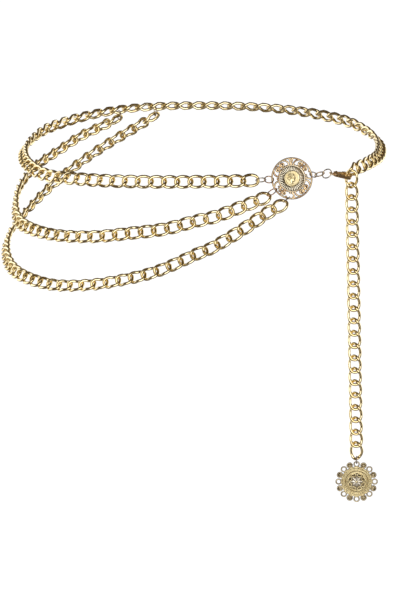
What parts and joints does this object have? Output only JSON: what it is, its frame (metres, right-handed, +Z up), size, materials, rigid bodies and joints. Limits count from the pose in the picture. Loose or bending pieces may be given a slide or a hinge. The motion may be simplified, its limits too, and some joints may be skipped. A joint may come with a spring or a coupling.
{
  "type": "waist chain",
  "caption": "Gold curb-chain waist belt in worn form: a loop, two draped strands over one hip, a hooked tail, and two round filigree medallions.",
  "frame": {"origin": "centre of the worn waist loop at the level of its chain", "axes": "+X to the side that carries the clasp and the tail, +Y towards the rear, +Z up"},
  "size_m": [0.3298, 0.2717, 0.3107],
  "materials": {
    "gold": "polished pale gold plate",
    "ring_metal": "worn silver-grey wire"
  },
  "bodies": {
    "belt": {"waist_chain": "gold", "tail_chain": "gold", "middle_strand": "gold", "lower_strand": "gold", "front_medallion": "gold", "waist_ring_outer": "ring_metal", "waist_ring_inner": "ring_metal", "middle_ring": "ring_metal", "lower_ring": "ring_metal", "middle_rear_ring": "ring_metal", "lower_rear_ring": "ring_metal", "clasp_link_ring": "ring_metal", "clasp_edge_ring": "ring_metal", "clasp_ring": "ring_metal", "clasp_body": "gold"},
    "lever": {"clasp_lever": "gold"},
    "drop": {"drop_ring": "ring_metal", "drop_medallion": "gold"}
  },
  "joints": [
    {"name": "lever_hinge", "type": "hinge", "parent": "belt", "child": "lever", "pos_m": [0.1141, -0.09309, -0.00135], "axis": [0.4225, -0.132, 0.8967], "range_deg": [-18, 0], "stiffness_Nm_per_rad": 0.0008},
    {"name": "drop_swing", "type": "hinge", "parent": "belt", "child": "drop", "pos_m": [0.13209, -0.08671, -0.25607], "axis": [1, 0, 0], "range_deg": [-35, 35]}
  ]
}
